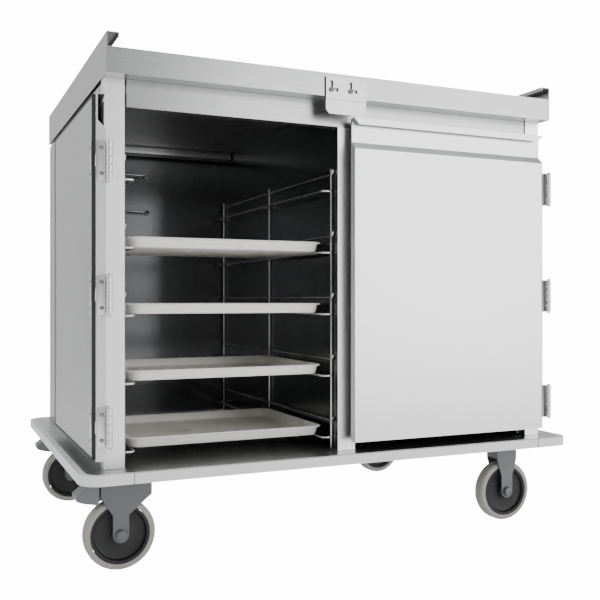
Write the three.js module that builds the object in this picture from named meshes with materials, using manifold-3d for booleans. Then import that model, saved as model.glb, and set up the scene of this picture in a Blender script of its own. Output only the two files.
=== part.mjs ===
// A double-compartment food service trolley: a stainless cabinet with two hinged doors, wire tray slides,
// removable trays and a drop latch, on a bumpered base with two braked swivel casters and two rigid ones.
// Millimetres, +Z up, front towards -Y, origin on the floor under the middle of the bumper.
import * as THREE from 'three';
import { mergeVertices } from 'three/addons/utils/BufferGeometryUtils.js';
import Module from 'manifold-3d';

const wasm = await Module();
wasm.setup();

// ---- driving dimensions ------------------------------------------------------------------------
const GAP = 0.3;
const SHEET = 2;

const BUMPER = { halfX: 609, halfY: 457.5, depth: 14, bottom: 205, top: 226, corner: 45, stripInset: 104 };
const BODY = {
  halfX: 554, front: -397.5, back: 422.5, bottom: 226.4, top: 1026, sideGap: 7, wall: 1.5, backPan: 10,
};
const POST = { side: 42, centre: 44, depth: 30 };
const HEADER = { bottom: 969, depth: 26, endGap: 4 };
const RAIL = {
  halfX: 556.5, front: -437.5, bottom: 1026.4, frontTop: 1079, sideTop: 1108.5, lip: 20, flange: 25, turn: 9,
  deckInset: 25, rearReach: 30,
};
const SLIDES = {
  levels: 5, lowest: 254, pitch: 142.5, wire: 2.8, reach: 28, wall: 5, holdDown: 39, front: -372, rear: 396,
};
const TRAY = {
  width: 461, length: 356, height: 23, base: 440, wall: 2.5, rim: 5, front: -357, corner: 26, filled: 4,
};

const DOOR = {
  width: 534, bottom: 249, top: 986, pan: 20, liner: 6, linerInset: 8,
  face: -436.5, hingeEdge: 536, grip: { bottom: 916, depth: 16, lip: 14, lean: 3 },
};
const HINGE = {
  pinX: 551.5, pinY: -440.5, knuckle: 6, bore: 3.4, pin: 3.1, height: 80, centres: [317, 582, 851], leaf: 2,
  foot: 12, play: 0.6, sides: 10,
};
const LATCH = {
  left: -73.5, right: 29.2, top: 1071, bend: 1022.5, bottom: 988, sheet: 2.2, slot: 8, legs: [-60.5, -12.5],
  studZ: 1041, lift: 16, park: 17, stud: 3.4, head: 5.6, standoff: 2.6, cut: 9,
};
const WHEEL = { radius: 76.2, width: 32, core: 63, hub: 20, bore: 6.5, axle: 6, sides: 24 };
const CASTER = {
  swivelX: -509, rigidX: 492, frontY: -328, rearY: 338.5, trail: 38, legInner: 19.5, leg: 3.5, crown: 162,
  padX: 50, padY: 45, swivelPad: 8, rigidPad: 6, swivelTop: 196, rigidTop: 190, race: 38, dish: 34,
};
const CASTER_SEAT = BUMPER.top - 3 - GAP * 2;
const PEDAL = { pivotX: -30, pivotZ: 172, tip: -94, halfWidth: 13.5, treadHalf: 27 };

// ---- finishes ----------------------------------------------------------------------------------
const metal = (color, roughness) => new THREE.MeshStandardMaterial({ color, roughness, metalness: 1 });
const plain = (color, roughness) => new THREE.MeshStandardMaterial({ color, roughness, metalness: 0 });
const steel = metal(0xc9cbcc, 0.35);
const polished = metal(0xe2e3e4, 0.15);
const zinc = metal(0x8e9193, 0.45);
const bumperVinyl = plain(0xdcdddb, 0.5);
const trayPlastic = plain(0xf1efe6, 0.4);
const corePlastic = plain(0x26272a, 0.5);
const tyreRubber = plain(0x9a9791, 0.7);
const pedalPlastic = plain(0x2b2c2e, 0.5);

const trolley = new THREE.Group();

// ---- solids ------------------------------------------------------------------------------------
function toSolid(geometry) {
  const bare = geometry.index ? geometry.toNonIndexed() : geometry;
  bare.deleteAttribute('normal');
  bare.deleteAttribute('uv');
  const welded = mergeVertices(bare, 1e-4);
  return new wasm.Manifold(new wasm.Mesh({
    numProp: 3,
    vertProperties: new Float32Array(welded.attributes.position.array),
    triVerts: new Uint32Array(welded.index.array),
  }));
}

function toGeometry(solid) {
  const mesh = solid.getMesh();
  const geometry = new THREE.BufferGeometry();
  geometry.setAttribute('position', new THREE.BufferAttribute(new Float32Array(mesh.vertProperties), 3));
  geometry.setIndex(new THREE.BufferAttribute(new Uint32Array(mesh.triVerts), 1));
  geometry.computeVertexNormals();
  return geometry;
}

function box(x0, x1, y0, y1, z0, z1) {
  const geometry = new THREE.BoxGeometry(x1 - x0, y1 - y0, z1 - z0);
  return toSolid(geometry.translate((x0 + x1) / 2, (y0 + y1) / 2, (z0 + z1) / 2));
}

const outline = (points) => new THREE.Shape(points.map(([a, b]) => new THREE.Vector2(a, b)));
const extruded = (shape, depth) => new THREE.ExtrudeGeometry(
  shape,
  { depth, bevelEnabled: false, curveSegments: 5 },
);

// A plan outline in x, y raised between two heights.
function prismZ(shape, z0, z1) {
  return toSolid(extruded(shape, z1 - z0).translate(0, 0, z0));
}

// A section in x, z carried along y.
function prismY(shape, y0, y1) {
  return toSolid(extruded(shape, y1 - y0).rotateX(Math.PI / 2).translate(0, y1, 0));
}

// A section in y, z carried along x.
function prismX(shape, x0, x1) {
  const turn = new THREE.Matrix4().set(0, 0, 1, 0, 1, 0, 0, 0, 0, 1, 0, 0, 0, 0, 0, 1);
  return toSolid(extruded(shape, x1 - x0).applyMatrix4(turn).translate(x0, 0, 0));
}

function rod(from, to, radius, sides = 4) {
  const a = new THREE.Vector3(...from);
  const b = new THREE.Vector3(...to);
  const geometry = new THREE.CylinderGeometry(radius, radius, a.distanceTo(b), sides);
  const heading = b.clone().sub(a).normalize();
  const lean = new THREE.Quaternion().setFromUnitVectors(new THREE.Vector3(0, 1, 0), heading);
  geometry.applyQuaternion(lean);
  return toSolid(geometry.translate(...a.add(b).multiplyScalar(0.5).toArray()));
}

function union(...solids) {
  return solids.flat().reduce((all, next) => all.add(next));
}

function roundedRectangle(halfX, halfY, radius) {
  const shape = new THREE.Shape();
  shape.moveTo(halfX - radius, -halfY);
  shape.absarc(halfX - radius, radius - halfY, radius, -Math.PI / 2, 0);
  shape.absarc(halfX - radius, halfY - radius, radius, 0, Math.PI / 2);
  shape.absarc(radius - halfX, halfY - radius, radius, Math.PI / 2, Math.PI);
  shape.absarc(radius - halfX, radius - halfY, radius, Math.PI, 1.5 * Math.PI);
  return shape;
}

// A closed shell through a stack of equal plan loops, capped at its first and last loop.
function loft(loops) {
  const count = loops[0].length;
  const corners = [];
  const push = (...points) => points.forEach((point) => corners.push(...point));
  for (let level = 0; level + 1 < loops.length; level += 1) {
    for (let i = 0; i < count; i += 1) {
      const j = (i + 1) % count;
      push(loops[level][i], loops[level][j], loops[level + 1][j]);
      push(loops[level][i], loops[level + 1][j], loops[level + 1][i]);
    }
  }
  const last = loops[loops.length - 1];
  for (let i = 1; i + 1 < count; i += 1) {
    push(loops[0][0], loops[0][i + 1], loops[0][i]);
    push(last[0], last[i], last[i + 1]);
  }
  const geometry = new THREE.BufferGeometry();
  geometry.setAttribute('position', new THREE.Float32BufferAttribute(corners, 3));
  return toSolid(geometry);
}

function addPart(name, solid, material, parent = trolley) {
  const mesh = new THREE.Mesh(toGeometry(solid), material);
  mesh.name = name;
  parent.add(mesh);
  return mesh;
}

const mirrored = (solid, side) => (side < 0 ? solid : solid.mirror([1, 0, 0]));

// ---- base and bumper ---------------------------------------------------------------------------
function buildBase() {
  const inset = BUMPER.depth + GAP;
  const halfX = BUMPER.halfX - inset;
  const halfY = BUMPER.halfY - inset;
  const corner = BUMPER.corner - inset;
  const skirt = 3;
  const pan = prismZ(roundedRectangle(halfX, halfY, corner), BUMPER.bottom + 1, BUMPER.top - GAP);
  const hollow = roundedRectangle(halfX - skirt, halfY - skirt, corner - skirt);
  addPart('base_plate', pan.subtract(prismZ(hollow, BUMPER.bottom, BUMPER.top - GAP - skirt)), steel);
}

function buildBumper() {
  const { halfX, halfY, depth, corner, bottom, top, stripInset } = BUMPER;
  const ring = roundedRectangle(halfX, halfY, corner);
  ring.holes.push(roundedRectangle(halfX - depth, halfY - depth, corner - depth));
  const whole = prismZ(ring, bottom, top);
  const split = halfY - stripInset;
  const far = halfX + 10;
  addPart('bumper_front', whole.intersect(box(-far, far, -far, -split, 0, far)), bumperVinyl);
  addPart('bumper_rear', whole.intersect(box(-far, far, split, far, 0, far)), bumperVinyl);
  const middle = (x0, x1) => whole.intersect(box(x0, x1, GAP - split, split - GAP, 0, far));
  addPart('bumper_left', middle(-far, 0), bumperVinyl);
  addPart('bumper_right', middle(0, far), bumperVinyl);
}

// ---- cabinet shell -----------------------------------------------------------------------------
function channel(width, depth) {
  const half = width / 2;
  const inner = half - SHEET;
  return outline([[-half, 0], [half, 0], [half, depth], [inner, depth], [inner, SHEET], [-inner, SHEET],
    [-inner, depth], [-half, depth]]);
}

function doubleWall(x0, x1, y0, y1, top) {
  const wall = outline([[x0, y0], [x1, y0], [x1, y1], [x0, y1]]);
  const t = BODY.wall;
  wall.holes.push(outline([[x0 + t, y0 + t], [x1 - t, y0 + t], [x1 - t, y1 - t], [x0 + t, y1 - t]]));
  return prismZ(wall, BODY.bottom, top);
}

function buildShell() {
  const { halfX, front, back, bottom, top } = BODY;
  const postSection = (width) => channel(width, POST.depth);
  const post = (width, x, height) => prismZ(postSection(width), bottom, height).translate([x, front, 0]);
  const sideX = halfX - POST.side / 2;
  addPart('left_post', post(POST.side, -sideX, top), steel);
  addPart('right_post', post(POST.side, sideX, top), steel);
  addPart('centre_post', post(POST.centre, 0, HEADER.bottom - GAP), steel);

  const headerHalf = halfX - POST.side - HEADER.endGap;
  const headerBack = front + HEADER.depth;
  const headerFloor = HEADER.bottom + SHEET;
  const headerSection = outline([
    [front, top], [front, HEADER.bottom], [headerBack, HEADER.bottom],
    [headerBack, headerFloor], [front + SHEET, headerFloor], [front + SHEET, top],
  ]);
  addPart('header_panel', prismX(headerSection, -headerHalf, headerHalf), steel);

  const wallFront = front + POST.depth + GAP;
  const backFace = back - BODY.backPan;
  const sideTop = top - BODY.sideGap;
  const innerX = halfX - POST.side;
  addPart('left_side_panel', doubleWall(-halfX, -innerX, wallFront, back, sideTop), steel);
  addPart('right_side_panel', doubleWall(innerX, halfX, wallFront, back, sideTop), steel);
  const half = POST.centre / 2;
  addPart('partition', doubleWall(-half, half, wallFront, backFace - GAP, top), steel);
  const backHalf = innerX - GAP;
  const backPan = box(-backHalf, backHalf, backFace, back, bottom, top);
  const hollowHalf = backHalf - SHEET;
  const backHollow = box(-hollowHalf, hollowHalf, backFace + SHEET, back + 1, bottom + SHEET, top - SHEET);
  addPart('back_panel', backPan.subtract(backHollow), steel);
}

// ---- top frame ---------------------------------------------------------------------------------
function buildTopFrame() {
  const { halfX, front, bottom, frontTop, sideTop, lip, flange, turn, deckInset, rearReach } = RAIL;
  const back = BODY.back;
  const inside = halfX - SHEET - GAP;
  const deckFront = BODY.front + deckInset;
  const railC = (y, way, reach) => outline([
    [y, bottom], [y + way * reach, bottom], [y + way * reach, bottom + SHEET],
    [y + way * SHEET, bottom + SHEET], [y + way * SHEET, frontTop - SHEET],
    [y + way * lip, frontTop - SHEET], [y + way * lip, frontTop], [y, frontTop],
  ]);
  const { legs, studZ, stud } = LATCH;
  const studHoles = legs.map((x) => rod([x, front - 5, studZ], [x, front + 8, studZ], stud + 0.6, 8));
  const frontRail = prismX(railC(front, 1, deckFront - front - GAP), -inside, inside);
  addPart('front_rail', frontRail.subtract(union(studHoles)), steel);
  addPart('rear_rail', prismX(railC(back, -1, rearReach), -inside, inside), steel);

  const edge = flange - halfX;
  const under = sideTop - SHEET;
  const sideSection = outline([
    [-halfX, bottom], [-halfX, sideTop], [edge, sideTop], [edge, sideTop - turn],
    [edge - SHEET, sideTop - turn], [edge - SHEET, under], [SHEET - halfX, under], [SHEET - halfX, bottom],
  ]);
  const sideRail = prismY(sideSection, front, back);
  addPart('left_handle_rail', sideRail, steel);
  addPart('right_handle_rail', mirrored(sideRail, 1), steel);
  const deckBack = back - rearReach - GAP;
  addPart('top_deck', box(-inside, inside, deckFront, deckBack, bottom, bottom + SHEET), steel);
}

// ---- tray slides and trays ---------------------------------------------------------------------
const levelHeight = (level) => SLIDES.lowest + level * SLIDES.pitch;

function slideRack(wallX, way) {
  const { wire, reach, wall, holdDown, front, rear, levels } = SLIDES;
  const upright = wallX + way * wall;
  const ledge = wallX + way * reach;
  const stations = [front, rear];
  const footZ = BODY.bottom + 2;
  const headZ = levelHeight(levels - 1) + holdDown + 14;
  const wires = stations.map((y) => rod([upright, y, footZ], [upright, y, headZ], wire));
  for (let level = 0; level < levels; level += 1) {
    const z = levelHeight(level);
    wires.push(rod([ledge, front - 3, z], [ledge, rear + 3, z], wire));
    wires.push(rod([upright, front - 12, z + holdDown], [upright, rear + 3, z + holdDown], wire));
    stations.forEach((y) => wires.push(rod([upright, y, z - 1], [ledge, y, z - 1], wire)));
  }
  return union(wires);
}

function buildSlides() {
  const innerX = BODY.halfX - POST.side;
  const centre = POST.centre / 2;
  addPart('left_bay_outer_slides', slideRack(-innerX, 1), polished);
  addPart('left_bay_inner_slides', slideRack(-centre, -1), polished);
  addPart('right_bay_inner_slides', slideRack(centre, 1), polished);
  addPart('right_bay_outer_slides', slideRack(innerX, -1), polished);
}

function buildTrays() {
  const { width, length, height, base, wall, rim, corner, front, filled } = TRAY;
  const bayCentre = -(BODY.halfX - POST.side + POST.centre / 2) / 2;
  const inset = (width - base) / 2;
  const rimShape = (shrink) => roundedRectangle(
    width / 2 - shrink,
    length / 2 - shrink,
    corner - shrink / 2,
  );
  const loop = (shrink, z) => {
    const points = rimShape(shrink).getPoints(2).slice(0, -1);
    return points.map((point) => [point.x, point.y, z]);
  };
  const shell = loft([loop(inset, 0), loop(rim + 1, height - 3), loop(0, height - 3), loop(0, height),
    loop(rim + 1 + wall, height), loop(inset + wall, wall)]);
  for (let level = 0; level < filled; level += 1) {
    const rest = levelHeight(level) + SLIDES.wire + GAP;
    const tray = addPart(`tray_${level + 1}`, shell, trayPlastic);
    tray.position.set(bayCentre, front + length / 2, rest);
  }
}

// ---- doors and hinges --------------------------------------------------------------------------
// Each door is drawn closed on the left side, measured from its hinge pin, then mirrored and turned.
const fromPin = (solid) => solid.translate([HINGE.pinX, -HINGE.pinY, 0]);

function doorPan() {
  const { width, bottom, top, pan, face, hingeEdge, grip } = DOOR;
  const x0 = -hingeEdge;
  const x1 = x0 + width;
  const inner = face + pan;
  const web = face + grip.depth;
  const slope = grip.bottom + grip.depth;
  const roof = top - SHEET;
  const tip = top - grip.lip;
  const profile = outline([[inner, bottom], [inner, top], [face, top], [face + grip.lean, tip],
    [face + grip.lean + SHEET, tip], [face + SHEET, roof], [web, roof], [web, slope],
    [face, grip.bottom], [face, bottom]]);
  const hollow = outline([[inner + 1, bottom + SHEET], [inner + 1, roof], [web + SHEET, roof],
    [web + SHEET, slope], [face + SHEET, grip.bottom - SHEET / 2], [face + SHEET, bottom + SHEET]]);
  const lipEnd = (x, way) => prismY(outline([[x - way, roof], [x, roof], [x + way * grip.lip, tip - 1],
    [x - way, tip - 1]]), face - 1, web - 1);
  const body = prismX(profile, x0, x1).subtract(prismX(hollow, x0 + SHEET, x1 - SHEET));
  return body.subtract(lipEnd(x0, 1)).subtract(lipEnd(x1, -1));
}

function doorLiner() {
  const { width, bottom, top, pan, liner, linerInset, face, hingeEdge } = DOOR;
  const y0 = face + pan + GAP;
  const x0 = linerInset - hingeEdge;
  const x1 = width - hingeEdge - linerInset;
  const pressed = 4;
  const plate = box(x0, x1, y0, y0 + liner, bottom + linerInset, top - linerInset);
  const back = box(x0 + pressed, x1 - pressed, y0 - 1, y0 + liner - SHEET,
    bottom + linerInset + pressed, top - linerInset - pressed);
  return plate.subtract(back);
}

const knuckleLength = HINGE.height / 5;

function knuckles(picked, centre) {
  const z0 = centre - HINGE.height / 2;
  const { pinX, pinY, knuckle } = HINGE;
  return picked.map((slot) => rod([-pinX, pinY, z0 + slot * knuckleLength + GAP / 2],
    [-pinX, pinY, z0 + (slot + 1) * knuckleLength - GAP / 2], knuckle, HINGE.sides));
}

// The room round the knuckles of the other leaf.
function knuckleRoom(picked, centre) {
  const z0 = centre - HINGE.height / 2;
  const { pinX, pinY, knuckle, play, sides } = HINGE;
  return union(picked.map((slot) => rod([-pinX, pinY, z0 + slot * knuckleLength - GAP / 2],
    [-pinX, pinY, z0 + (slot + 1) * knuckleLength + GAP / 2], knuckle + play, sides)));
}

function frameLeaf(centre) {
  const { pinX, pinY, bore, leaf, height, foot } = HINGE;
  const z0 = centre - height / 2;
  const z1 = centre + height / 2;
  const footY = BODY.front - GAP;
  const webX = leaf - pinX;
  const web = box(webX, webX + leaf, pinY + 2 * leaf, footY, z0, z1);
  const flange = box(webX, webX + foot, footY - leaf, footY, z0, z1);
  const plate = web.add(flange).subtract(knuckleRoom([1, 3], centre));
  const hole = rod([-pinX, pinY, z0 - 5], [-pinX, pinY, z1 + 5], bore, 8);
  return union(plate, knuckles([0, 2, 4], centre)).subtract(hole);
}

function doorLeaf(centre) {
  const { pinX, pinY, pin, leaf, height, knuckle } = HINGE;
  const z0 = centre - height / 2;
  const z1 = centre + height / 2;
  const edge = -DOOR.hingeEdge - GAP;
  const arm = box(-pinX, edge, pinY - leaf / 2, pinY + leaf / 2, z0, z1);
  const plate = box(edge - leaf, edge, pinY - leaf / 2, DOOR.face + DOOR.pan - 2, z0, z1);
  const leafPlate = arm.add(plate).subtract(knuckleRoom([0, 2, 4], centre));
  const spindle = rod([-pinX, pinY, z0 - 2], [-pinX, pinY, z1 + 2], pin, 8);
  const cap = (z) => rod([-pinX, pinY, z - 1.5], [-pinX, pinY, z + 1.5], knuckle - 1, 8);
  const caps = [z0 - 2, z1 + 2].map(cap);
  return union(leafPlate, knuckles([1, 3], centre), spindle, caps);
}

function buildDoor(name, side, openAngle) {
  const leafGroup = new THREE.Group();
  leafGroup.position.set(side * HINGE.pinX, HINGE.pinY, 0);
  leafGroup.rotation.z = openAngle;
  trolley.add(leafGroup);
  const place = (solid) => mirrored(fromPin(solid), side);
  addPart(`${name}_door_shell`, place(doorPan()), steel, leafGroup);
  addPart(`${name}_door_liner`, place(doorLiner()), steel, leafGroup);
  HINGE.centres.forEach((centre, i) => {
    const level = ['lower', 'middle', 'upper'][i];
    addPart(`${name}_${level}_hinge_door_leaf`, place(doorLeaf(centre)), polished, leafGroup);
    addPart(`${name}_${level}_hinge_frame_leaf`, mirrored(frameLeaf(centre), side), polished);
  });
}

// ---- drop latch --------------------------------------------------------------------------------
function buildLatch() {
  const { left, right, top, bend, bottom, sheet, slot, lift, park, standoff, cut } = LATCH;
  const { legs, studZ, stud, head } = LATCH;
  const rear = RAIL.front - standoff;
  const plateFront = rear - sheet;
  const flapRear = RAIL.front + GAP;
  const upper = box(left, right, plateFront, rear, bend, top);
  const joggle = box(left + 1, right - 1, plateFront, flapRear, bend - sheet, bend + 0.5);
  const flap = prismY(outline([[left + 1, bend], [left + 1, bottom + cut], [left + cut, bottom],
    [right - cut, bottom], [right - 1, bottom + cut], [right - 1, bend]]), flapRear - sheet, flapRear);
  const railFoot = box(left, right, RAIL.front - GAP, RAIL.front + 5, bend - sheet - 1, bend + 5);
  const half = slot / 2;
  const lSlot = (x) => prismY(outline([
    [x - half, studZ - half], [x + park, studZ - half], [x + park, studZ + half],
    [x + half, studZ + half], [x + half, studZ + lift + half], [x - half, studZ + lift + half],
  ]), plateFront - 5, 0);
  const plate = upper.add(joggle).add(flap).subtract(railFoot).subtract(union(legs.map(lSlot)));
  addPart('latch_plate', plate, polished);

  const barFront = RAIL.front + SHEET + GAP;
  const barRear = barFront + 4;
  const barReach = 12;
  const bar = box(legs[0] - barReach, legs[1] + barReach, barFront, barRear, studZ - 10, studZ + 10);
  const studs = legs.map((x) => rod([x, barRear - 1, studZ], [x, plateFront - 2, studZ], stud, 8));
  const heads = legs.map((x) => rod([x, plateFront - GAP, studZ], [x, plateFront - 3, studZ], head, 8));
  addPart('latch_studs', union(bar, studs, heads), zinc);
}

// ---- casters -----------------------------------------------------------------------------------
function latheY(profile, segments) {
  const points = profile.map(([radius, y]) => new THREE.Vector2(radius, y));
  return toSolid(new THREE.LatheGeometry([...points, points[0]], segments));
}

function tyre() {
  const { radius, width, core } = WHEEL;
  const half = width / 2;
  const crown = 5;
  return latheY([[core, -half], [radius - crown, -half], [radius, 7 - half], [radius, half - 7],
    [radius - crown, half], [core, half]], WHEEL.sides);
}

function core() {
  const { width, core: outer, hub, bore } = WHEEL;
  const rim = outer - GAP;
  const half = width / 2;
  const hubHalf = half + 2;
  const web = 7;
  return latheY([
    [bore, -hubHalf], [hub, -hubHalf], [hub, -web], [rim - 8, -web], [rim - 6, -half], [rim, -half],
    [rim, half], [rim - 6, half], [rim - 8, web], [hub, web], [hub, hubHalf], [bore, hubHalf],
  ], WHEEL.sides);
}

// The side plate of a fork in x, z, measured from the axle; reach is where the crown ends on each side.
function forkSide(rearReach, frontReach, crownTop) {
  const round = 17;
  const shoulder = 118 - WHEEL.radius;
  const crownZ = CASTER.crown - WHEEL.radius;
  const shape = new THREE.Shape();
  shape.absarc(0, 0, round, Math.PI, 2 * Math.PI);
  shape.lineTo(round, shoulder);
  shape.lineTo(frontReach, crownZ - 4);
  shape.lineTo(frontReach, crownTop);
  shape.lineTo(-rearReach, crownTop);
  shape.lineTo(-rearReach, crownZ - 4);
  shape.lineTo(-round, shoulder);
  return shape;
}

function fork(rearReach, frontReach, topZ) {
  const { legInner, leg, crown } = CASTER;
  const axleZ = WHEEL.radius;
  const outer = legInner + leg;
  const profile = forkSide(rearReach, frontReach, topZ - axleZ);
  const side = prismY(profile, -outer, outer).translate([0, 0, axleZ]);
  const slot = box(-200, 200, -legInner, legInner, -10, crown);
  const axle = rod([0, -outer - 3, axleZ], [0, outer + 3, axleZ], WHEEL.axle, 8);
  const nuts = [-1, 1].map((way) => rod([0, way * outer, axleZ], [0, way * (outer + 5), axleZ], 10, 6));
  return union(side.subtract(slot), axle, nuts);
}

function swivelFork() {
  const { trail, crown, swivelTop: topZ, dish: dishRadius } = CASTER;
  const rearReach = 42;
  const body = fork(rearReach, trail + 28, topZ);
  const dish = rod([trail, 0, topZ - 1], [trail, 0, topZ + 9], dishRadius, 16);
  const pocketHalf = PEDAL.halfWidth + 1.5;
  const pocket = box(-rearReach - 1, trail - 46, -pocketHalf, pocketHalf, crown - 1, topZ + 1);
  return body.add(dish).subtract(pocket);
}

function rigidFork() {
  const { legInner, leg, padX, padY, rigidPad, rigidTop } = CASTER;
  const reach = 30;
  const outer = legInner + leg;
  const padBottom = CASTER_SEAT - rigidPad;
  const stem = box(-reach, reach, -outer, outer, rigidTop - 1, padBottom + 1);
  return union(fork(reach, reach, rigidTop), stem, box(-padX, padX, -padY, padY, padBottom, CASTER_SEAT));
}

function pedal() {
  const { pivotX, pivotZ, tip, halfWidth, treadHalf } = PEDAL;
  const arm = prismY(outline([
    [pivotX + 12, pivotZ - 14], [pivotX + 12, pivotZ + 18], [pivotX - 20, pivotZ + 20],
    [pivotX - 20, pivotZ - 26], [pivotX - 8, pivotZ - 21],
  ]), -halfWidth, halfWidth);
  const treadX = pivotX - 17;
  const tread = prismY(outline([[treadX, pivotZ - 28], [treadX, pivotZ + 20], [treadX - 14, pivotZ + 18],
    [tip + 12, pivotZ + 2], [tip, pivotZ - 7], [tip + 2, pivotZ - 17], [tip + 16, pivotZ - 22]]),
  -treadHalf, treadHalf);
  return arm.add(tread);
}

function addWheel(name, x, y) {
  const solids = [['core', core(), corePlastic], ['tyre', tyre(), tyreRubber]];
  solids.forEach(([piece, solid, material]) => {
    addPart(`${name}_wheel_${piece}`, solid, material).position.set(x, y, WHEEL.radius);
  });
}

function buildCasters() {
  const { padX, padY, swivelPad, race } = CASTER;
  const padBottom = CASTER_SEAT - swivelPad;
  const raceBottom = CASTER.swivelTop + 9.4;
  const rows = [['front', CASTER.frontY], ['rear', CASTER.rearY]];
  rows.forEach(([row, y]) => {
    const left = `${row}_left`;
    addPart(`${left}_caster_fork`, swivelFork(), zinc).position.set(CASTER.swivelX, y, 0);
    addPart(`${left}_brake_pedal`, pedal(), pedalPlastic).position.set(CASTER.swivelX, y, 0);
    const plate = box(-padX, padX, -padY, padY, padBottom, CASTER_SEAT)
      .add(rod([0, 0, raceBottom], [0, 0, padBottom + 1], race, 16));
    const plateX = CASTER.swivelX + CASTER.trail;
    addPart(`${left}_caster_plate`, plate, zinc).position.set(plateX, y, 0);
    addWheel(left, CASTER.swivelX, y);
    const right = `${row}_right`;
    addPart(`${right}_caster_fork`, rigidFork(), zinc).position.set(CASTER.rigidX, y, 0);
    addWheel(right, CASTER.rigidX, y);
  });
}

buildBase();
buildBumper();
buildShell();
buildTopFrame();
buildSlides();
buildTrays();
buildDoor('left', -1, Math.PI / 2);
buildDoor('right', 1, 0);
buildLatch();
buildCasters();

export default trolley;
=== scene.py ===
import bpy
import bmesh
import math
from mathutils import Matrix, Vector


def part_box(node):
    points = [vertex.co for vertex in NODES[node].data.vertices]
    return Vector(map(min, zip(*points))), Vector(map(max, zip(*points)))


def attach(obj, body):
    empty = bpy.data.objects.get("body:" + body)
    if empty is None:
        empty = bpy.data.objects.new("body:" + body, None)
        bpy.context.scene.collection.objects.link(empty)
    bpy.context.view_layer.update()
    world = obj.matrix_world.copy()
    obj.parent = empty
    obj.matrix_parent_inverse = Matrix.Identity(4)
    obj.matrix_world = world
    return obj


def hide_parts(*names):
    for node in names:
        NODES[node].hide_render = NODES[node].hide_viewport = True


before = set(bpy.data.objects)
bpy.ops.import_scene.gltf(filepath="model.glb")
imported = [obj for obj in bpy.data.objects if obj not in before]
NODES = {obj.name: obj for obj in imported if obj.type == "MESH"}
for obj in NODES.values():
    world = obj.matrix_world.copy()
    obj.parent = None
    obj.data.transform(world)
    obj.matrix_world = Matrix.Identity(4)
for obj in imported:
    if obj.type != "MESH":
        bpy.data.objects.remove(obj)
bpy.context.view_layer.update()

CORNERS = ("front_left", "front_right", "rear_left", "rear_right")
UP = (0, 0, 1)
ACROSS = (0, 1, 0)
MIRROR_X = Matrix.Scale(-1, 4, (1, 0, 0))
SLIDE_HEIGHTS = [0.254 + 0.1425 * level for level in range(5)]
HOLD_DOWN = 0.039
WIRE_RADIUS = 0.0026
CABINET_BACK = 0.4222
BACK_PANEL_FACE = 0.411
BUMPER_HALF_DEPTH = 0.4578
CASTER_TRAIL = 0.038
STAGE_GLOW = 14.0

# The left door's hinge line, and the planes that its leaves lie on while that door is closed.
HINGE_PIN = Vector((-0.5515, -0.4405, 0))
HINGE_HEIGHTS = {"lower": 0.317, "middle": 0.582, "upper": 0.851}
HINGE_LENGTH = 0.080
KNUCKLE_LENGTH = HINGE_LENGTH / 5
KNUCKLE_RADIUS = 0.0060
LEAF = 0.002
DOOR_EDGE = -0.5363
POST_FACE = -0.3978
LINER_FACE = -0.4102


# ---- materials ---------------------------------------------------------------------------------
def new_material(name, color, metallic, roughness):
    material = bpy.data.materials.new(name)
    material.use_nodes = True
    shader = material.node_tree.nodes["Principled BSDF"]
    shader.inputs["Base Color"].default_value = (*color, 1)
    shader.inputs["Metallic"].default_value = metallic
    shader.inputs["Roughness"].default_value = roughness
    return material, shader


def noise(tree, scale, detail, stretch=(1, 1, 1)):
    nodes, links = tree.nodes, tree.links
    coords = nodes.new("ShaderNodeTexCoord")
    mapping = nodes.new("ShaderNodeMapping")
    mapping.inputs["Scale"].default_value = stretch
    texture = nodes.new("ShaderNodeTexNoise")
    texture.inputs["Scale"].default_value = scale
    texture.inputs["Detail"].default_value = detail
    links.new(coords.outputs["Object"], mapping.inputs["Vector"])
    links.new(mapping.outputs["Vector"], texture.inputs["Vector"])
    return texture


# Noise is mostly between these two values, so a ramp or a span reaches its ends there.
NOISE_LOW, NOISE_HIGH = 0.3, 0.7


def ramp(tree, source, low, high):
    node = tree.nodes.new("ShaderNodeValToRGB")
    node.color_ramp.elements[0].position = NOISE_LOW
    node.color_ramp.elements[1].position = NOISE_HIGH
    node.color_ramp.elements[0].color = (*low, 1)
    node.color_ramp.elements[1].color = (*high, 1)
    tree.links.new(source.outputs["Fac"], node.inputs["Fac"])
    return node


def span(tree, source, low, high):
    node = tree.nodes.new("ShaderNodeMapRange")
    node.inputs["From Min"].default_value = NOISE_LOW
    node.inputs["From Max"].default_value = NOISE_HIGH
    node.inputs["To Min"].default_value = low
    node.inputs["To Max"].default_value = high
    tree.links.new(source.outputs["Fac"], node.inputs["Value"])
    return node


def bump(tree, shader, source, strength, distance):
    node = tree.nodes.new("ShaderNodeBump")
    node.inputs["Strength"].default_value = strength
    node.inputs["Distance"].default_value = distance
    tree.links.new(source.outputs["Fac"], node.inputs["Height"])
    tree.links.new(node.outputs["Normal"], shader.inputs["Normal"])


def tint(tree, shader, clouds, color, tone):
    """Lets the base colour drift a little darker and lighter with the clouds."""
    darker = tuple(max(c - tone, 0) for c in color)
    lighter = tuple(min(c + tone, 1) for c in color)
    shade = ramp(tree, clouds, darker, lighter)
    tree.links.new(shade.outputs["Color"], shader.inputs["Base Color"])


def brushed(name, color, grain, rough=(0.26, 0.38), tone=0.035, depth=0.12):
    """Satin steel: long fine scratches along one axis over a slow cloudy change of tone."""
    material, shader = new_material(name, color, 1.0, rough[0])
    tree = material.node_tree
    stretch = tuple(1.0 if axis == grain else 90.0 for axis in "XYZ")
    scratches = noise(tree, 14.0, 4.0, stretch)
    clouds = noise(tree, 2.2, 2.0)
    tint(tree, shader, clouds, color, tone)
    tree.links.new(span(tree, scratches, *rough).outputs["Result"], shader.inputs["Roughness"])
    bump(tree, shader, scratches, depth, 0.0004)
    return material


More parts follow.
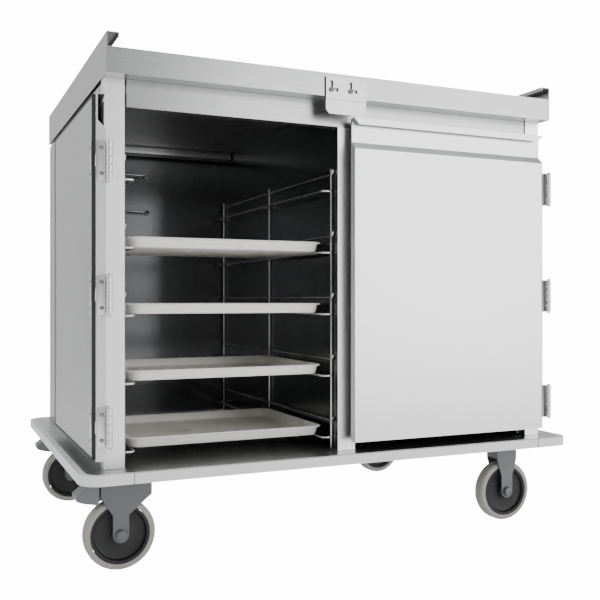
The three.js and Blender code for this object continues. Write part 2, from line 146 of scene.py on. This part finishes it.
def moulded(name, color, roughness, tone, grain_scale, grain_depth, metallic=0.0):
    """Plastic, rubber or paint: mottled tone, uneven gloss and a fine surface grain."""
    material, shader = new_material(name, color, metallic, roughness)
    tree = material.node_tree
    clouds = noise(tree, 9.0, 4.0)
    grain = noise(tree, grain_scale, 2.0)
    tint(tree, shader, clouds, color, tone)
    gloss = span(tree, clouds, roughness - 0.06, roughness + 0.06)
    tree.links.new(gloss.outputs["Result"], shader.inputs["Roughness"])
    bump(tree, shader, grain, 0.25, grain_depth)
    return material


STEEL = (0.44, 0.443, 0.446)
LOOKS = {
    "steel_x": brushed("stainless_across", STEEL, "X"),
    "steel_y": brushed("stainless_lengthwise", STEEL, "Y"),
    "steel_z": brushed("stainless_upright", STEEL, "Z"),
    "post": brushed("stainless_post", (0.93, 0.93, 0.93), "Z", (0.34, 0.46), 0.02),
    "door": brushed("stainless_door", (0.70, 0.705, 0.71), "Z", (0.30, 0.40), 0.012),
    # The stainless of the bays' inner walls darkened to 0.15: painted shade for the inside of the cabinet.
    "inside": brushed("stainless_inside_painted_shade", (0.15, 0.152, 0.155), "Z", (0.16, 0.26), 0.02, 0.03),
    "polished": brushed("polished_steel", (0.66, 0.66, 0.66), "Z", (0.14, 0.22), 0.03),
    "hinge": brushed("hinge_steel", (0.84, 0.84, 0.84), "Z", (0.34, 0.42), 0.02),
    # Near-black steel for the hinge arms: painted shade for the dark gap between the knuckles and the door
    # edge.
    "shade": brushed("hinge_arm_painted_shade", (0.10, 0.10, 0.10), "Z", (0.40, 0.50), 0.02),
    "wire": brushed("bright_wire", (0.72, 0.72, 0.72), "Y", (0.12, 0.22), 0.03),
    "zinc": moulded("grey_caster_steel", (0.13, 0.132, 0.135), 0.40, 0.012, 160, 0.0002, 0.3),
    "bumper": moulded("bumper_vinyl", (0.80, 0.81, 0.80), 0.42, 0.015, 420, 0.00015),
    "tray": moulded("tray_plastic", (0.93, 0.92, 0.875), 0.32, 0.012, 700, 0.0001),
    "core": moulded("wheel_core_nylon", (0.009, 0.009, 0.010), 0.60, 0.003, 500, 0.00015),
    "tyre": moulded("grey_tyre_rubber", (0.34, 0.33, 0.30), 0.62, 0.02, 380, 0.0003),
    # Black rubber for the bumper joints and the door seal; on the seal it is also painted shade for the gap
    # by the door edge.
    "black": moulded("black_rubber_and_gap_shade", (0.012, 0.012, 0.013), 0.55, 0.004, 600, 0.0001),
    "pedal": moulded("pedal_plastic", (0.16, 0.165, 0.17), 0.42, 0.01, 450, 0.00015),
    "latch": brushed("latch_steel", (0.46, 0.46, 0.46), "X", (0.20, 0.30), 0.03),
    "screw": brushed("screw_steel", (0.34, 0.34, 0.34), "X", (0.25, 0.35), 0.03),
    "white": moulded("white_cap_plastic", (0.80, 0.80, 0.78), 0.35, 0.01, 500, 0.0001),
}


# ---- mesh helpers ------------------------------------------------------------------------------
def box_into(mesh, low, high, bevel=0.0):
    made = bmesh.ops.create_cube(mesh, size=1.0)
    low, high = Vector(low), Vector(high)
    for vertex in made["verts"]:
        vertex.co = Vector(low[i] + (vertex.co[i] + 0.5) * (high[i] - low[i]) for i in range(3))
    if bevel > 0:
        edges = list({edge for vertex in made["verts"] for edge in vertex.link_edges})
        bmesh.ops.bevel(mesh, geom=edges, offset=bevel, segments=2, affect="EDGES", profile=0.5)


def lathe_into(mesh, profile, centre, axis, steps=32):
    """Turns a closed profile of (radius, distance along the axis) round an axis through centre."""
    turn = Vector((0, 0, 1)).rotation_difference(Vector(axis)).to_matrix()
    rings = []
    for step in range(steps):
        angle = 2 * math.pi * step / steps
        spoke = [Vector((r * math.cos(angle), r * math.sin(angle), h)) for r, h in profile]
        rings.append([mesh.verts.new(turn @ point + Vector(centre)) for point in spoke])
    count = len(profile)
    for step in range(steps):
        here, there = rings[step], rings[(step + 1) % steps]
        for i in range(count):
            j = (i + 1) % count
            if profile[i][0] < 1e-7 and profile[j][0] < 1e-7:
                continue
            mesh.faces.new((here[i], there[i], there[j], here[j]))


def piece(name, mesh, look, body, transform=None, smooth=True):
    if transform is not None:
        bmesh.ops.transform(mesh, matrix=transform, verts=mesh.verts)
    bmesh.ops.remove_doubles(mesh, verts=mesh.verts, dist=1e-6)
    bmesh.ops.dissolve_degenerate(mesh, dist=1e-7, edges=mesh.edges)
    bmesh.ops.recalc_face_normals(mesh, faces=mesh.faces)
    data = bpy.data.meshes.new(name)
    mesh.to_mesh(data)
    mesh.free()
    item = bpy.data.objects.new(name, data)
    bpy.context.collection.objects.link(item)
    data.materials.append(LOOKS[look])
    if smooth:
        soften(item)
    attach(item, body)
    return item


def soften(item, angle=32):
    for face in item.data.polygons:
        face.use_smooth = True
    item.data.set_sharp_from_angle(angle=math.radians(angle))


def screw_into(mesh, centre, axis, radius=0.0042, rise=0.0014):
    """A low domed head with a recessed cross socket, drawn as a round well."""
    well = radius * 0.36
    profile = [(0, -0.0006), (radius, -0.0006), (radius, rise * 0.35), (radius * 0.78, rise * 0.85),
               (well, rise), (well * 0.9, rise * 0.2), (0, rise * 0.2)]
    lathe_into(mesh, profile, centre, axis, 16)


def round_corners(points, radius, steps=5):
    """A polyline with its inner corners turned into arcs."""
    out = [Vector(points[0])]
    for before, corner, after in zip(points, points[1:], points[2:]):
        corner = Vector(corner)
        back = Vector(before) - corner
        ahead = Vector(after) - corner
        reach = min(radius, back.length * 0.49, ahead.length * 0.49)
        start = corner + back.normalized() * reach
        end = corner + ahead.normalized() * reach
        for step in range(steps + 1):
            t = step / steps
            out.append(start.lerp(corner, t).lerp(corner.lerp(end, t), t))
    out.append(Vector(points[-1]))
    return out


def wires(name, paths):
    """Bright round wires of the cabinet, one along each path."""
    curve = bpy.data.curves.new(name, "CURVE")
    curve.dimensions = "3D"
    curve.bevel_depth = WIRE_RADIUS
    curve.bevel_resolution = 3
    curve.use_fill_caps = True
    for path in paths:
        spline = curve.splines.new("POLY")
        spline.points.add(len(path) - 1)
        for point, place in zip(spline.points, path):
            point.co = (*place, 1)
        spline.use_smooth = True
    item = bpy.data.objects.new(name, curve)
    bpy.context.collection.objects.link(item)
    curve.materials.append(LOOKS["wire"])
    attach(item, "cabinet")
    return item


# ---- carried-over CAD nodes --------------------------------------------------------------------
def cad_look(name):
    if name.startswith("bumper"):
        return "bumper", 0.0045
    if "brake_pedal" in name:
        return "pedal", 0.0012
    if "caster" in name:
        return "zinc", 0.0008
    if "door_shell" in name:
        return "door", 0.0011
    if "door_liner" in name:
        return "steel_z", 0.0012
    if name == "latch_studs":
        return "zinc", 0.0006
    if name == "latch_plate":
        return "latch", 0.0005
    if "hinge" in name:
        return "polished", 0.0004
    if name in ("front_rail", "rear_rail", "header_panel", "top_deck"):
        return "steel_x", 0.0007
    if "handle_rail" in name or name == "base_plate":
        return "steel_y", 0.0007
    if name.endswith("post"):
        return "post", 0.0007
    # The inner walls take the darkened steel: painted shade.
    if name in ("partition", "back_panel"):
        return "inside", 0.0007
    return "steel_z", 0.0007


def dress_cad():
    for name, node in NODES.items():
        look, width = cad_look(name)
        for slot in node.material_slots:
            slot.material = LOOKS[look]
        bevel = node.modifiers.new("edge_round", "BEVEL")
        bevel.width = width
        bevel.segments = 3 if width > 0.002 else 2
        bevel.limit_method = "ANGLE"
        bevel.angle_limit = math.radians(50)
        bevel.harden_normals = True
        weighted = node.modifiers.new("even_shading", "WEIGHTED_NORMAL")
        weighted.keep_sharp = True


# ---- tray slides -------------------------------------------------------------------------------
def build_slides():
    sides = {"left_bay_outer_slides": 1, "left_bay_inner_slides": -1,
             "right_bay_inner_slides": 1, "right_bay_outer_slides": -1}
    for node, way in sides.items():
        low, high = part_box(node)
        wall = low[0] if way > 0 else high[0]
        upright = wall + way * 0.0024
        ledge = upright + way * 0.0228
        front, rear = low[1] + 0.012, high[1] - 0.005
        stations = (front, (front + rear) / 2, rear)
        paths = [[(upright, y, low[2] + 0.001), (upright, y, high[2] - 0.001)] for y in stations]
        for z in SLIDE_HEIGHTS:
            loop = [(upright, front, z), (ledge, front, z), (ledge, rear, z), (upright, rear, z)]
            paths.append(round_corners(loop, 0.011))
            paths.append([(upright, stations[1], z), (ledge, stations[1], z)])
            hold = z + HOLD_DOWN
            tip = (upright, front - 0.010, hold + 0.010)
            rail = [tip, (upright, front - 0.006, hold), (upright, rear, hold)]
            paths.append(round_corners(rail, 0.008))
        rack = wires(node + "_wire", paths)
        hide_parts(node)


# ---- trays -------------------------------------------------------------------------------------
def rounded_loop(half_x, half_y, radius, centre, z, steps=8):
    points = []
    for quarter, (sx, sy) in enumerate(((1, 1), (-1, 1), (-1, -1), (1, -1))):
        for step in range(steps + 1):
            angle = math.pi / 2 * (quarter + step / steps)
            points.append((centre[0] + sx * (half_x - radius) + radius * math.cos(angle),
                           centre[1] + sy * (half_y - radius) + radius * math.sin(angle), z))
    return points


def build_trays():
    # Each section is the inset from the tray's outline and the height over its underside.
    outside = [(0.016, 0), (0.0115, 0.0008), (0.0095, 0.004), (0.0068, 0.018), (0.0045, 0.0195)]
    rim = [(0.0008, 0.0192), (0, 0.0205), (0.0008, 0.022), (0.0032, 0.0228), (0.0075, 0.0222)]
    inside = [(0.0095, 0.019), (0.0122, 0.0052), (0.0145, 0.003), (0.019, 0.0024)]
    corner = 0.030
    for level in range(1, 5):
        node = f"tray_{level}"
        low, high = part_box(node)
        centre = ((low[0] + high[0]) / 2, (low[1] + high[1]) / 2)
        half_x, half_y = (high[0] - low[0]) / 2, (high[1] - low[1]) / 2
        mesh = bmesh.new()
        loops = []
        for inset, rise in outside + rim + inside:
            radius = corner - inset * 0.6
            points = rounded_loop(half_x - inset, half_y - inset, radius, centre, low[2] + rise)
            loops.append([mesh.verts.new(point) for point in points])
        count = len(loops[0])
        for lower, upper in zip(loops, loops[1:]):
            for i in range(count):
                j = (i + 1) % count
                mesh.faces.new((lower[i], lower[j], upper[j], upper[i]))
        mesh.faces.new(loops[0])
        mesh.faces.new(loops[-1])
        tray = piece(node + "_moulding", mesh, "tray", node)
        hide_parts(node)


# ---- wheels ------------------------------------------------------------------------------------
def build_wheels():
    radius, inner, half = 0.0762, 0.0631, 0.016
    shoulder = 0.007
    tread = []
    for step in range(9):
        angle = math.pi / 2 * step / 8
        across = -half + shoulder - shoulder * math.cos(angle)
        tread.append((radius - shoulder + shoulder * math.sin(angle), across))
    tyre_profile = [(inner, -half)] + tread + [(r, -h) for r, h in reversed(tread)] + [(inner, half)]
    side = [(0.0066, 0.018), (0.0185, 0.018), (0.0200, 0.0165), (0.0205, 0.0085), (0.024, 0.0070),
            (0.050, 0.0070), (0.0535, 0.0085), (0.0560, 0.0150), (0.0575, 0.0160), (0.0625, 0.0160)]
    core_profile = side + [(r, -h) for r, h in reversed(side)]
    for corner in CORNERS:
        centre = [(a + b) / 2 for a, b in zip(*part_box(f"{corner}_wheel_tyre"))]
        body = f"{corner}_wheel"
        mesh = bmesh.new()
        lathe_into(mesh, tyre_profile, centre, ACROSS, 72)
        rubber = piece(f"{corner}_tyre_moulding", mesh, "tyre", body)
        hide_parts(f"{corner}_wheel_tyre")
        mesh = bmesh.new()
        lathe_into(mesh, core_profile, centre, ACROSS, 64)
        hub = piece(f"{corner}_core_moulding", mesh, "core", body)
        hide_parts(f"{corner}_wheel_core")


# ---- caster fittings ---------------------------------------------------------------------------
def build_caster_fittings():
    washer = [(0.0055, 0), (0.0125, 0), (0.0125, 0.0014), (0.0055, 0.0014)]
    cap = [(0, 0.0045), (0.0114, 0.0045), (0.0114, 0.0058), (0.0100, 0.0072), (0.0060, 0.0080), (0, 0.0082)]
    race = [(0.0335, 0.188), (0.0375, 0.188), (0.0385, 0.190), (0.0385, 0.1955), (0.0355, 0.199),
            (0.0335, 0.199)]
    for corner in CORNERS:
        x, y, z = [(a + b) / 2 for a, b in zip(*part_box(f"{corner}_wheel_tyre"))]
        body = f"{corner.split('_')[0]}_left_swivel" if corner.endswith("left") else "cabinet"
        mesh = bmesh.new()
        for way in (-1, 1):
            face = y + way * 0.0230
            lathe_into(mesh, washer, (x, face, z), (0, way, 0), 32)
            lathe_into(mesh, cap, (x, face, z), (0, way, 0), 32)
        piece(f"{corner}_axle_washers", mesh, "zinc", body)
        if corner.endswith("left"):
            mesh = bmesh.new()
            lathe_into(mesh, race, (x + CASTER_TRAIL, y, 0), UP, 48)
            piece(f"{corner}_race_cup", mesh, "zinc", body)
            mesh = bmesh.new()
            for rib in range(4):
                along = x - 0.079 + rib * 0.006
                rise = 0.1735 + rib * 0.0048
                low = (along, y - 0.024, rise - 0.004)
                high = (along + 0.0028, y + 0.024, rise + 0.0032)
                box_into(mesh, low, high, 0.0007)
            piece(f"{corner}_pedal_ribs", mesh, "pedal", f"{corner}_pedal")


# ---- doors -------------------------------------------------------------------------------------
def door_place(side):
    """From the left door's closed place to where this door stands at rest."""
    if side > 0:
        return MIRROR_X
    swing = Matrix.Rotation(math.pi / 2, 4, "Z")
    return Matrix.Translation(HINGE_PIN) @ swing @ Matrix.Translation(-HINGE_PIN)


def knuckle_span(slot, centre, play):
    """Lowest and highest point of one of the five knuckles, drawn in by the play at each end."""
    low = centre - HINGE_LENGTH / 2 + slot * KNUCKLE_LENGTH + play
    return low, low + KNUCKLE_LENGTH - 2 * play


def knuckles_into(mesh, picked, centre):
    """The rolled barrels of one leaf, each with softly rounded ends."""
    for slot in picked:
        low, high = knuckle_span(slot, centre, 0.0002)
        barrel = [(0.0034, low), (0.0050, low), (0.0058, low + 0.0009), (KNUCKLE_RADIUS, low + 0.0018),
                  (KNUCKLE_RADIUS, high - 0.0018), (0.0058, high - 0.0009), (0.0050, high), (0.0034, high)]
        lathe_into(mesh, barrel, HINGE_PIN, UP, 28)


def pin_into(mesh, low, high):
    """The hinge pin, with a button head past each end of the knuckles."""
    button = [(0.0034, 0.0034), (0.0050, 0.0024), (0.0050, 0.0004)]
    bottom = [(radius, low - past) for radius, past in button]
    top = [(radius, high + past) for radius, past in reversed(button)]
    shank = [(0.0030, low), (0.0030, high)]
    ends = (0, low - 0.0034), (0, high + 0.0034)
    lathe_into(mesh, [ends[0], *bottom, *shank, *top, ends[1]], HINGE_PIN, UP, 28)


def door_leaf(name, level, centre, place):
    """Leaf on the door's hinge edge, its arm darkened as painted shade, a plate on the liner, the pin and
    the screws.
    """
    x, y = HINGE_PIN.x, HINGE_PIN.y
    body = f"{name}_door"
    low, high = centre - HINGE_LENGTH / 2, centre + HINGE_LENGTH / 2
    front, rear = y - LEAF / 2, y + LEAF / 2
    mesh = bmesh.new()
    for slot in (1, 3):
        start, end = knuckle_span(slot, centre, 0.0006)
        box_into(mesh, (x + 0.0045, front, start), (x + 0.009, rear, end))
    box_into(mesh, (x + 0.0078, front, low), (DOOR_EDGE, rear, high), 0.0003)
    # The arm and its tabs take the near-black steel: painted shade.
    piece(f"{name}_{level}_door_leaf_arm", mesh, "shade", body, place)
    mesh = bmesh.new()
    knuckles_into(mesh, (1, 3), centre)
    box_into(mesh, (DOOR_EDGE - LEAF, front, low), (DOOR_EDGE, -0.4186, high), 0.0004)
    pin_into(mesh, low, high)
    box_into(mesh, (-0.5375, -0.4162, centre - 0.012), (-0.519, -0.4150, centre + 0.012), 0.0003)
    liner_back = LINER_FACE + LEAF
    box_into(mesh, (-0.5275, LINER_FACE, centre - 0.040), (-0.5145, liner_back, centre + 0.040), 0.0008)
    leaf = piece(f"{name}_{level}_door_leaf_detail", mesh, "hinge", body, place)
    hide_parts(f"{name}_{level}_hinge_door_leaf")
    mesh = bmesh.new()
    for way in (-1, 1):
        screw_into(mesh, (-0.521, liner_back, centre + way * 0.027), ACROSS, 0.0040)
        screw_into(mesh, (DOOR_EDGE - LEAF, -0.4275, centre + way * 0.026), (-1, 0, 0), 0.0044)
    piece(f"{name}_{level}_door_leaf_screws", mesh, "screw", body, place)


def frame_leaf(name, level, centre, mirror):
    """Leaf on the corner post: barrels, web back to the post and a narrow foot."""
    y = HINGE_PIN.y
    near = HINGE_PIN.x + LEAF
    far = near + LEAF
    low, high = centre - HINGE_LENGTH / 2, centre + HINGE_LENGTH / 2
    mesh = bmesh.new()
    knuckles_into(mesh, (0, 2, 4), centre)
    for slot in (0, 2, 4):
        start, end = knuckle_span(slot, centre, 0.0004)
        box_into(mesh, (near, y + 0.0045, start), (far, y + 0.009, end))
    box_into(mesh, (near, y + 0.0078, low), (far, POST_FACE, high), 0.0003)
    box_into(mesh, (near, POST_FACE - LEAF, low), (near + 0.012, POST_FACE, high), 0.0005)
    leaf = piece(f"{name}_{level}_frame_leaf_detail", mesh, "hinge", "cabinet", mirror)
    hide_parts(f"{name}_{level}_hinge_frame_leaf")


def door_seal_and_gap_shade(name, place):
    """Dark seal lying in the groove round the liner; its black also stands in as painted shade for the gap
    between door and frame.
    """
    x0, x1 = -0.5335, -0.0045
    z0, z1 = 0.2515, 0.9835
    front, rear = -0.4163, -0.4092
    thick, rounding = 0.0052, 0.0012
    mesh = bmesh.new()
    for left in (x0, x1 - thick):
        box_into(mesh, (left, front, z0), (left + thick, rear, z1), rounding)
    for bottom in (z0, z1 - thick):
        box_into(mesh, (x0 + thick, front, bottom), (x1 - thick, rear, bottom + thick), rounding)
    piece(f"{name}_door_seal_and_gap_shade", mesh, "black", f"{name}_door", place)


def build_door_fittings():
    for side, name in ((-1, "left"), (1, "right")):
        place = door_place(side)
        mirror = Matrix.Identity(4) if side < 0 else MIRROR_X
        door_seal_and_gap_shade(name, place)
        for level, centre in HINGE_HEIGHTS.items():
            door_leaf(name, level, centre, place)
            frame_leaf(name, level, centre, mirror)


# ---- cabinet details ---------------------------------------------------------------------------
def ceiling_channels():
    mesh = bmesh.new()
    for bay in (-1, 1):
        for y in (-0.362, 0.330):
            x0, x1 = sorted((bay * 0.025, bay * 0.509))
            box_into(mesh, (x0, y, 1.004), (x1, y + 0.050, 1.0255), 0.002)
    piece("ceiling_channels", mesh, "steel_x", "cabinet")


def post_return_painted_shade():
    """Thin dark skins on the inner faces of the posts: painted shade where the posts turn into the bays."""
    mesh = bmesh.new()
    for face in (-0.5114, -0.0226, 0.0221, 0.5109):
        box_into(mesh, (face, -0.3955, 0.228), (face + 0.0005, -0.3678, 0.9675))
    piece("post_return_painted_shade", mesh, "inside", "cabinet")


def bumper_joint_lines():
    """Dark joints where the bumper's long strips meet its corner pieces."""
    half_width, depth = 0.0006, 0.0075
    mesh = bmesh.new()
    for way in (-1, 1):
        front, rear = sorted((way * BUMPER_HALF_DEPTH, way * (BUMPER_HALF_DEPTH - depth)))
        for x in (-0.505, 0.505):
            box_into(mesh, (x - half_width, front, 0.2045), (x + half_width, rear, 0.2264))
    piece("bumper_joint_lines", mesh, "black", "cabinet", smooth=False)


def back_stops():
    """Wire loops on the back panel, each foot in a round white cap."""
    left, right, reach = -0.36, -0.27, 0.026
    cap = [(0, -0.001), (0.008, -0.001), (0.008, 0.003), (0.005, 0.006), (0, 0.0065)]
    front = BACK_PANEL_FACE - reach
    loops = []
    mesh = bmesh.new()
    for z in (0.838, 0.948):
        path = [(left, BACK_PANEL_FACE, z), (left, front, z), (right, front, z), (right, BACK_PANEL_FACE, z)]
        loops.append(round_corners(path, 0.010))
        for x in (left, right):
            lathe_into(mesh, cap, (x, BACK_PANEL_FACE, z), (0, -1, 0), 24)
    wires("back_stop_wires", loops)
    piece("back_stop_caps", mesh, "white", "cabinet")


def rear_cover():
    """Flat sheet over the hollow of the back panel, with three screws down each side."""
    mesh = bmesh.new()
    box_into(mesh, (-0.5095, CABINET_BACK - 0.0019, 0.2288), (0.5095, CABINET_BACK, 1.0236), 0.0006)
    piece("rear_cover", mesh, "steel_z", "cabinet")
    mesh = bmesh.new()
    for side in (-1, 1):
        for z in (0.26, 0.62, 0.99):
            screw_into(mesh, (side * 0.495, CABINET_BACK, z), ACROSS)
    piece("rear_cover_screws", mesh, "polished", "cabinet")


def build_cabinet_details():
    ceiling_channels()
    post_return_painted_shade()
    bumper_joint_lines()
    back_stops()
    rear_cover()


# ---- stage, light and camera -------------------------------------------------------------------
def build_stage():
    """White floor that bends up into a backdrop, and glows for the camera alone."""
    mesh = bmesh.new()
    front, back, top, bend, steps = -14.0, 6.0, 9.0, 2.5, 16
    half_width = 18
    profile = [(front, 0.0), (back, 0.0)]
    for step in range(1, steps + 1):
        angle = math.pi / 2 * step / steps
        profile.append((back + bend * math.sin(angle), bend - bend * math.cos(angle)))
    profile.append((back + bend, top))
    rows = [[mesh.verts.new((x, y, z)) for x in (-half_width, half_width)] for y, z in profile]
    for low, high in zip(rows, rows[1:]):
        mesh.faces.new((low[0], low[1], high[1], high[0]))
    data = bpy.data.meshes.new("studio_sweep")
    mesh.to_mesh(data)
    mesh.free()
    sweep = bpy.data.objects.new("studio_sweep", data)
    bpy.context.collection.objects.link(sweep)
    for face in data.polygons:
        face.use_smooth = True
    material, shader = new_material("studio_white", (0.92, 0.92, 0.92), 0.0, 0.9)
    tree = material.node_tree
    path = tree.nodes.new("ShaderNodeLightPath")
    glow = tree.nodes.new("ShaderNodeMapRange")
    glow.inputs["To Min"].default_value = 0.35
    glow.inputs["To Max"].default_value = STAGE_GLOW
    tree.links.new(path.outputs["Is Camera Ray"], glow.inputs["Value"])
    shader.inputs["Emission Color"].default_value = (1, 1, 1, 1)
    tree.links.new(glow.outputs["Result"], shader.inputs["Emission Strength"])
    data.materials.append(material)


def area_light(name, place, aim, size, power):
    light = bpy.data.lights.new(name, "AREA")
    light.shape = "RECTANGLE"
    light.size, light.size_y = size
    light.energy = power
    item = bpy.data.objects.new(name, light)
    item.location = place
    item.rotation_euler = (Vector(aim) - Vector(place)).to_track_quat("-Z", "Y").to_euler()
    bpy.context.collection.objects.link(item)


def build_light():
    """A world brighter towards +X, white behind the stage for the camera, and three soft boxes."""
    world = bpy.data.worlds.new("studio")
    bpy.context.scene.world = world
    world.use_nodes = True
    tree = world.node_tree
    coords = tree.nodes.new("ShaderNodeTexCoord")
    split = tree.nodes.new("ShaderNodeSeparateXYZ")
    sweep = tree.nodes.new("ShaderNodeMapRange")
    sweep.inputs["From Min"].default_value = -1.0
    sweep.inputs["From Max"].default_value = 0.9
    sweep.inputs["To Min"].default_value = 0.12
    sweep.inputs["To Max"].default_value = 0.62
    tree.links.new(coords.outputs["Generated"], split.inputs["Vector"])
    tree.links.new(split.outputs["X"], sweep.inputs["Value"])
    path = tree.nodes.new("ShaderNodeLightPath")
    backdrop = tree.nodes.new("ShaderNodeMix")
    backdrop.inputs["B"].default_value = STAGE_GLOW + 1.2
    tree.links.new(path.outputs["Is Camera Ray"], backdrop.inputs["Factor"])
    tree.links.new(sweep.outputs["Result"], backdrop.inputs["A"])
    tree.links.new(backdrop.outputs["Result"], tree.nodes["Background"].inputs["Strength"])
    tree.nodes["Background"].inputs["Color"].default_value = (0.97, 0.98, 1.0, 1)
    area_light("front_softbox", (2.3, -3.6, 1.3), (0.2, 0, 0.5), (3.2, 2.6), 100)
    area_light("left_softbox", (-4.2, -0.6, 2.0), (-0.3, 0, 0.6), (1.4, 2.2), 60)
    area_light("top_softbox", (0, -0.6, 4.0), (0, 0, 0), (3.6, 3.2), 75)


def build_camera():
    camera = bpy.data.cameras.new("camera")
    camera.lens = 50.2
    camera.sensor_width = 36
    item = bpy.data.objects.new("camera", camera)
    item.location = (-0.8838, -2.1144, 0.572)
    item.rotation_euler = (math.radians(90), 0, math.radians(-24.06))
    bpy.context.collection.objects.link(item)
    bpy.context.scene.camera = item


build_camera()
dress_cad()
build_slides()
build_trays()
build_wheels()
build_caster_fittings()
build_door_fittings()
build_cabinet_details()
build_stage()
build_light()
